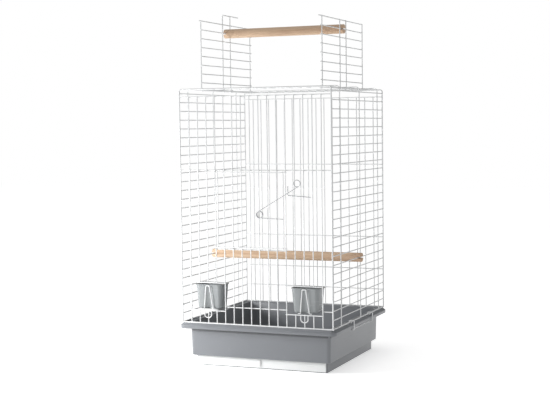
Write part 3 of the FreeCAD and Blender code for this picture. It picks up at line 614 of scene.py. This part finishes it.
# Beads at every crossing of the side, back, front, feeder, door and flap wires.
def makeWelds():
    look = weldLook
    wire, gap = look["wire"], look["doorGap"]
    hinge, shut = look["hingeBar"], look["shutBar"]
    rowLow, rowHigh = wireSpan("left_side_rows")
    bandLow, bandHigh = wireSpan("side_and_roof_bands")
    barLow, barHigh = wireSpan("back_bars")
    half = barHigh.y
    front, back = (-half + wire / 2,), (half - wire / 2,)
    rowZ = np.linspace(rowLow.z, rowHigh.z, look["sideRows"])
    barX = np.linspace(barLow.x, barHigh.x, look["bars"])
    spots = [crossings((-half - wire / 2, half + wire / 2), (bandLow.y, 0, bandHigh.y), rowZ),
             crossings((-half, half), (rowLow.y - look["rowEnd"], rowHigh.y + look["rowEnd"]), rowZ)]
    backLow, backHigh = wireSpan("back_cross_wires")
    spots.append(crossings(barX, back, [backLow.z] + look["backHeights"] + [backHigh.z]))
    frontLow, frontHigh = wireSpan("front_cross_wires")
    doorLow, doorHigh = wireSpan("door_bars")
    spots.append(crossings(barX, front, (frontHigh.z, doorHigh.z + gap + wire)))
    spots.append(crossings(barX[hinge:shut + 1], front, (doorLow.z - gap - wire,)))
    besideFeeders = np.concatenate([barX[slice(*look["middleBars"])], barX[[0, -1]]])
    spots.append(crossings(besideFeeders, front, (frontLow.z,)))
    for side in ("left", "right"):
        low, high = wireSpan(f"{side}_feeder_opening")
        stops = np.linspace(low.x, high.x, look["feederStops"])
        spots.append(crossings(stops, (-half - wire / 2,), (low.z, high.z)))
    weldBeads("cageWelds", "cage", np.concatenate(spots))
    doorX = np.concatenate([[doorLow.x], barX[hinge + 1:shut], [doorHigh.x]])
    crossLow, crossHigh = wireSpan("door_cross_wires")
    doorY = (doorLow.y - wire / 2,)
    weldBeads("doorWelds", "door", crossings(doorX, doorY, (crossLow.z, crossHigh.z)))
    for side, outer in (("left", 0), ("right", 1)):
        rows = wireSpan(f"{side}_flap_rows")
        faceX = rows[outer].x + (outer - 0.5) * wire
        uprightY = wireSpan(f"{side}_flap_uprights")[1].y
        levels = np.linspace(rows[0].z, rows[1].z, look["flapRows"])
        places = (-uprightY, -look["flapMiddle"], look["flapMiddle"], uprightY)
        weldBeads(f"{side}FlapWelds", f"{side}_flap", crossings((faceX,), places, levels))


makeTub()
makeCup("leftCup", "left_feeder_cup", "left_feeder")
makeCup("rightCup", "right_feeder_cup", "right_feeder")
makeLatch()
softCopy("topPerch", "top_perch", "top_perch", "perch_wood", edgeLook["fine"])
softCopy("innerPerch", "inner_perch", "cage", "perch_wood", edgeLook["fine"])
softCopy("drawerHousing", "drawer_housing", "cage", "base_plastic", edgeLook["fine"])
softCopy("drawerTray", "drawer_tray", "drawer", "drawer_plastic", edgeLook["fine"])
softCopy("drawerFront", "drawer_front", "drawer", "drawer_plastic", edgeLook["front"])
softCopy("drawerPull", "drawer_pull", "drawer", "pull_plastic", edgeLook["fine"])
makeWelds()
print("pieces made")


studio = {"floorSize": 14.0, "floorDrop": 0.05 * mm, "floorGlow": 0.48, "floorShades": (0.93, 0.95),
          "floorCloud": 1.5, "wallGlow": 1.0, "roomGlow": 0.26, "aim": (0, 0, 0.16),
          "keyPlace": (-0.53, -0.44, 0.27), "keySize": (0.20, 0.20), "keyPower": 4.7,
          "fillPlace": (-1.6, -1.4, 1.7), "fillSize": (1.4, 1.4), "fillPower": 6,
          "skyPower": 1.05, "skySpread": 75}


# One level square just under the cage, with very faint clouds in its white.
def makeFloor():
    reach, level = studio["floorSize"] / 2, -studio["floorDrop"]
    corners = [(-reach, -reach, level), (reach, -reach, level), (reach, reach, level), (-reach, reach, level)]
    floor = pieceFrom("studioFloor", corners, np.array([[0, 1, 2, 3]]), closed=False)
    make = Maker("paleFloor")
    cloud = make.noise(studio["floorCloud"], 2)
    dark, light = (colour(shade, shade, shade) for shade in studio["floorShades"])
    floor.data.materials.append(make.finish({"Base Color": make.mixColours(cloud, dark, light),
                                             "Roughness": 0.6 + cloud * 0.05,
                                             "Emission Color": colour(1, 1, 1),
                                             "Emission Strength": studio["floorGlow"]}))


# A soft lamp that faces a point and isn't itself seen.
def softbox(name, place, size, power, aim):
    lamp = bpy.data.lights.new(name, "AREA")
    lamp.shape = "RECTANGLE"
    lamp.size, lamp.size_y = size
    lamp.energy = power
    box = bpy.data.objects.new(name, lamp)
    box.location = place
    box.rotation_euler = (Vector(place) - aim).to_track_quat("Z", "Y").to_euler()
    box.visible_camera = False
    bpy.context.scene.collection.objects.link(box)


# The room lights the cage softly, and looks brighter where it is seen directly.
def lightStudio():
    world = bpy.data.worlds.new("paleRoom")
    world.use_nodes = True
    tree = world.node_tree
    glow = tree.nodes["Background"]
    glow.inputs["Color"].default_value = colour(1, 1, 1)
    seen = tree.nodes.new("ShaderNodeLightPath")
    level = tree.nodes.new("ShaderNodeMapRange")
    level.inputs["To Min"].default_value = studio["roomGlow"]
    level.inputs["To Max"].default_value = studio["wallGlow"]
    tree.links.new(seen.outputs["Is Camera Ray"], level.inputs["Value"])
    tree.links.new(level.outputs[0], glow.inputs["Strength"])
    bpy.context.scene.world = world
    aim = Vector(studio["aim"])
    softbox("keyBox", studio["keyPlace"], studio["keySize"], studio["keyPower"], aim)
    softbox("fillBox", studio["fillPlace"], studio["fillSize"], studio["fillPower"], aim)
    sky = bpy.data.lights.new("skyPanel", "SUN")
    sky.energy = studio["skyPower"]
    sky.angle = math.radians(studio["skySpread"])
    bpy.context.scene.collection.objects.link(bpy.data.objects.new("skyPanel", sky))
    bpy.context.scene.view_settings.view_transform = "Standard"


lens = {"focal": 79.65, "sensor": 36.0, "azimuth": 22.49, "elevation": 3.446, "roll": -0.68,
        "distance": 2.711, "aim": (-0.024, -0.002, 0.350), "farthest": 50}


# The camera looks back at its aim from an azimuth right of the front, and rolls a little.
def placeCamera():
    turn, tilt, roll = (math.radians(lens[name]) for name in ("azimuth", "elevation", "roll"))
    back = Vector((math.sin(turn) * math.cos(tilt), -math.cos(turn) * math.cos(tilt), math.sin(tilt)))
    right = Vector((math.cos(turn), math.sin(turn), 0))
    up = back.cross(right)
    rolledRight = right * math.cos(roll) + up * math.sin(roll)
    rolledUp = up * math.cos(roll) - right * math.sin(roll)
    camera = bpy.data.objects.new("studioCamera", bpy.data.cameras.new("studioCamera"))
    camera.data.sensor_width = lens["sensor"]
    camera.data.lens = lens["focal"]
    camera.data.clip_end = lens["farthest"]
    camera.matrix_world = Matrix((rolledRight, rolledUp, back)).transposed().to_4x4()
    camera.location = Vector(lens["aim"]) + back * lens["distance"]
    bpy.context.scene.collection.objects.link(camera)
    bpy.context.scene.camera = camera


makeFloor()
lightStudio()
placeCamera()
print("studio ready")
